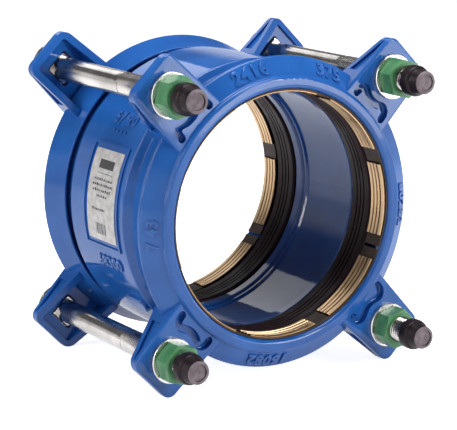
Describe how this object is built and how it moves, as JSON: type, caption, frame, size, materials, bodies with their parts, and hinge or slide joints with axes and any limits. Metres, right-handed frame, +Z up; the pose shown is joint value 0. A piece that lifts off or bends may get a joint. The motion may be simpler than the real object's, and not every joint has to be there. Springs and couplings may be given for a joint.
{
  "type": "restrained pipe coupling",
  "caption": "Restrained coupling that joins plain-ended pipes: a coated sleeve between bolted gland rings, with a rubber seal and toothed brass grips in each mouth.",
  "frame": {"origin": "on the bore axis, at the middle of the front grips", "axes": "the bore axis is Y, the front mouth faces -Y, the bolt nuts are at the front, +Z is up"},
  "size_m": [0.2212, 0.2088, 0.2212],
  "materials": {
    "epoxy_coating": "glossy fusion-bonded epoxy over ductile iron",
    "seal_rubber": "satin moulded rubber",
    "grip_brass": "machined brass",
    "carrier_plastic": "dark moulded plastic",
    "bolt_steel": "bright stainless steel",
    "washer_steel": "bright stainless steel",
    "nut_coating": "satin green low-friction coating",
    "cap_plastic": "soft black plastic",
    "label_film": "off-white printed film"
  },
  "bodies": {
    "sleeve": {"centre_sleeve": "epoxy_coating", "front_seal": "seal_rubber", "rear_seal": "seal_rubber", "front_grip_carrier": "carrier_plastic", "rear_grip_carrier": "carrier_plastic", "label_plate": "label_film"},
    "front_gland": {"front_gland_ring": "epoxy_coating", "washer_top_left": "washer_steel", "washer_top_right": "washer_steel", "washer_bottom_left": "washer_steel", "washer_bottom_right": "washer_steel"},
    "rear_gland": {"rear_gland_ring": "epoxy_coating", "bolt_bottom_right": "bolt_steel"},
    "nut_top_left": {"nut_top_left": "nut_coating"},
    "nut_top_right": {"nut_top_right": "nut_coating"},
    "nut_bottom_left": {"nut_bottom_left": "nut_coating"},
    "nut_bottom_right": {"nut_bottom_right": "nut_coating"},
    "front_grip_1": {"front_grip_segment_1": "grip_brass"},
    "front_grip_2": {"front_grip_segment_2": "grip_brass"},
    "front_grip_3": {"front_grip_segment_3": "grip_brass"},
    "front_grip_4": {"front_grip_segment_4": "grip_brass"},
    "front_grip_5": {"front_grip_segment_5": "grip_brass"},
    "front_grip_6": {"front_grip_segment_6": "grip_brass"},
    "front_grip_7": {"front_grip_segment_7": "grip_brass"},
    "front_grip_8": {"front_grip_segment_8": "grip_brass"},
    "rear_grip_1": {"rear_grip_segment_1": "grip_brass"},
    "rear_grip_2": {"rear_grip_segment_2": "grip_brass"},
    "rear_grip_3": {"rear_grip_segment_3": "grip_brass"},
    "rear_grip_4": {"rear_grip_segment_4": "grip_brass"},
    "rear_grip_5": {"rear_grip_segment_5": "grip_brass"},
    "rear_grip_6": {"rear_grip_segment_6": "grip_brass"},
    "rear_grip_7": {"rear_grip_segment_7": "grip_brass"},
    "rear_grip_8": {"rear_grip_segment_8": "grip_brass"},
    "bolt_top_left": {"bolt_top_left": "bolt_steel"},
    "bolt_top_right": {"bolt_top_right": "bolt_steel"},
    "bolt_bottom_left": {"bolt_bottom_left": "bolt_steel"},
    "cap_top_left": {"cap_top_left": "cap_plastic"},
    "cap_top_right": {"cap_top_right": "cap_plastic"},
    "cap_bottom_left": {"cap_bottom_left": "cap_plastic"},
    "cap_bottom_right": {"cap_bottom_right": "cap_plastic"}
  },
  "joints": [
    {"name": "front_gland_slide", "type": "slide", "parent": "sleeve", "child": "front_gland", "axis": [0, 1, 0], "range_m": [0, 0.004]},
    {"name": "rear_gland_slide", "type": "slide", "parent": "sleeve", "child": "rear_gland", "axis": [0, -1, 0], "range_m": [0, 0.004]},
    {"name": "nut_top_left_turn", "type": "hinge", "parent": "front_gland", "child": "nut_top_left", "pos_m": [-0.08535, -0.0172, 0.08535], "axis": [0, 1, 0], "range_deg": [0, 1440]},
    {"name": "nut_top_right_turn", "type": "hinge", "parent": "front_gland", "child": "nut_top_right", "pos_m": [0.08535, -0.0172, 0.08535], "axis": [0, 1, 0], "range_deg": [0, 1440]},
    {"name": "nut_bottom_left_turn", "type": "hinge", "parent": "front_gland", "child": "nut_bottom_left", "pos_m": [-0.08535, -0.0172, -0.08535], "axis": [0, 1, 0], "range_deg": [0, 1440]},
    {"name": "nut_bottom_right_turn", "type": "hinge", "parent": "front_gland", "child": "nut_bottom_right", "pos_m": [0.08535, -0.0172, -0.08535], "axis": [0, 1, 0], "range_deg": [0, 1440]},
    {"name": "front_grip_1_squeeze", "type": "slide", "parent": "sleeve", "child": "front_grip_1", "axis": [-0.7028, 0, 0.7114], "range_m": [0, 0.001]},
    {"name": "front_grip_2_squeeze", "type": "slide", "parent": "sleeve", "child": "front_grip_2", "axis": [-0.0087, 0, 1], "range_m": [0, 0.001]},
    {"name": "front_grip_3_squeeze", "type": "slide", "parent": "sleeve", "child": "front_grip_3", "axis": [0.7009, 0, 0.7133], "range_m": [0, 0.001]},
    {"name": "front_grip_4_squeeze", "type": "slide", "parent": "sleeve", "child": "front_grip_4", "axis": [1, 0, 0.0087], "range_m": [0, 0.001]},
    {"name": "front_grip_5_squeeze", "type": "slide", "parent": "sleeve", "child": "front_grip_5", "axis": [0.7133, 0, -0.7009], "range_m": [0, 0.001]},
    {"name": "front_grip_6_squeeze", "type": "slide", "parent": "sleeve", "child": "front_grip_6", "axis": [0.0087, 0, -1], "range_m": [0, 0.001]},
    {"name": "front_grip_7_squeeze", "type": "slide", "parent": "sleeve", "child": "front_grip_7", "axis": [-0.7009, 0, -0.7133], "range_m": [0, 0.001]},
    {"name": "front_grip_8_squeeze", "type": "slide", "parent": "sleeve", "child": "front_grip_8", "axis": [-0.9997, 0, -0.0236], "range_m": [0, 0.001]},
    {"name": "rear_grip_1_squeeze", "type": "slide", "parent": "sleeve", "child": "rear_grip_1", "axis": [-0.5247, 0, 0.8513], "range_m": [0, 0.001]},
    {"name": "rear_grip_2_squeeze", "type": "slide", "parent": "sleeve", "child": "rear_grip_2", "axis": [0.2164, 0, 0.9763], "range_m": [0, 0.001]},
    {"name": "rear_grip_3_squeeze", "type": "slide", "parent": "sleeve", "child": "rear_grip_3", "axis": [0.8434, 0, 0.5373], "range_m": [0, 0.001]},
    {"name": "rear_grip_4_squeeze", "type": "slide", "parent": "sleeve", "child": "rear_grip_4", "axis": [0.9763, 0, -0.2164], "range_m": [0, 0.001]},
    {"name": "rear_grip_5_squeeze", "type": "slide", "parent": "sleeve", "child": "rear_grip_5", "axis": [0.5373, 0, -0.8434], "range_m": [0, 0.001]},
    {"name": "rear_grip_6_squeeze", "type": "slide", "parent": "sleeve", "child": "rear_grip_6", "axis": [-0.2164, 0, -0.9763], "range_m": [0, 0.001]},
    {"name": "rear_grip_7_squeeze", "type": "slide", "parent": "sleeve", "child": "rear_grip_7", "axis": [-0.8434, 0, -0.5373], "range_m": [0, 0.001]},
    {"name": "rear_grip_8_squeeze", "type": "slide", "parent": "sleeve", "child": "rear_grip_8", "axis": [-0.9794, 0, 0.2019], "range_m": [0, 0.001]},
    {"name": "bolt_top_left_slack", "type": "slide", "parent": "rear_gland", "child": "bolt_top_left", "axis": [0, -1, 0], "range_m": [0, 0.0089]},
    {"name": "bolt_top_right_slack", "type": "slide", "parent": "rear_gland", "child": "bolt_top_right", "axis": [0, -1, 0], "range_m": [0, 0.0048]},
    {"name": "bolt_bottom_left_slack", "type": "slide", "parent": "rear_gland", "child": "bolt_bottom_left", "axis": [0, -1, 0], "range_m": [0, 0.007]},
    {"name": "cap_top_left_pull", "type": "slide", "parent": "bolt_top_left", "child": "cap_top_left", "axis": [0, -1, 0], "range_m": [0, 0.012]},
    {"name": "cap_top_right_pull", "type": "slide", "parent": "bolt_top_right", "child": "cap_top_right", "axis": [0, -1, 0], "range_m": [0, 0.012]},
    {"name": "cap_bottom_left_pull", "type": "slide", "parent": "bolt_bottom_left", "child": "cap_bottom_left", "axis": [0, -1, 0], "range_m": [0, 0.012]},
    {"name": "cap_bottom_right_pull", "type": "slide", "parent": "rear_gland", "child": "cap_bottom_right", "axis": [0, -1, 0], "range_m": [0, 0.012]}
  ],
  "couplings": [
    {"joint": "rear_gland_slide", "follows": "front_gland_slide", "ratio": 1},
    {"joint": "nut_top_left_turn", "follows": "front_gland_slide", "rad_per_m": 6283.2},
    {"joint": "nut_top_right_turn", "follows": "front_gland_slide", "rad_per_m": 6283.2},
    {"joint": "nut_bottom_left_turn", "follows": "front_gland_slide", "rad_per_m": 6283.2},
    {"joint": "nut_bottom_right_turn", "follows": "front_gland_slide", "rad_per_m": 6283.2},
    {"joint": "front_grip_1_squeeze", "follows": "front_gland_slide", "ratio": 0.24933},
    {"joint": "front_grip_2_squeeze", "follows": "front_gland_slide", "ratio": 0.24933},
    {"joint": "front_grip_3_squeeze", "follows": "front_gland_slide", "ratio": 0.24933},
    {"joint": "front_grip_4_squeeze", "follows": "front_gland_slide", "ratio": 0.24933},
    {"joint": "front_grip_5_squeeze", "follows": "front_gland_slide", "ratio": 0.24933},
    {"joint": "front_grip_6_squeeze", "follows": "front_gland_slide", "ratio": 0.24933},
    {"joint": "front_grip_7_squeeze", "follows": "front_gland_slide", "ratio": 0.24933},
    {"joint": "front_grip_8_squeeze", "follows": "front_gland_slide", "ratio": 0.24933},
    {"joint": "rear_grip_1_squeeze", "follows": "front_gland_slide", "ratio": 0.24933},
    {"joint": "rear_grip_2_squeeze", "follows": "front_gland_slide", "ratio": 0.24933},
    {"joint": "rear_grip_3_squeeze", "follows": "front_gland_slide", "ratio": 0.24933},
    {"joint": "rear_grip_4_squeeze", "follows": "front_gland_slide", "ratio": 0.24933},
    {"joint": "rear_grip_5_squeeze", "follows": "front_gland_slide", "ratio": 0.24933},
    {"joint": "rear_grip_6_squeeze", "follows": "front_gland_slide", "ratio": 0.24933},
    {"joint": "rear_grip_7_squeeze", "follows": "front_gland_slide", "ratio": 0.24933},
    {"joint": "rear_grip_8_squeeze", "follows": "front_gland_slide", "ratio": 0.24933}
  ]
}
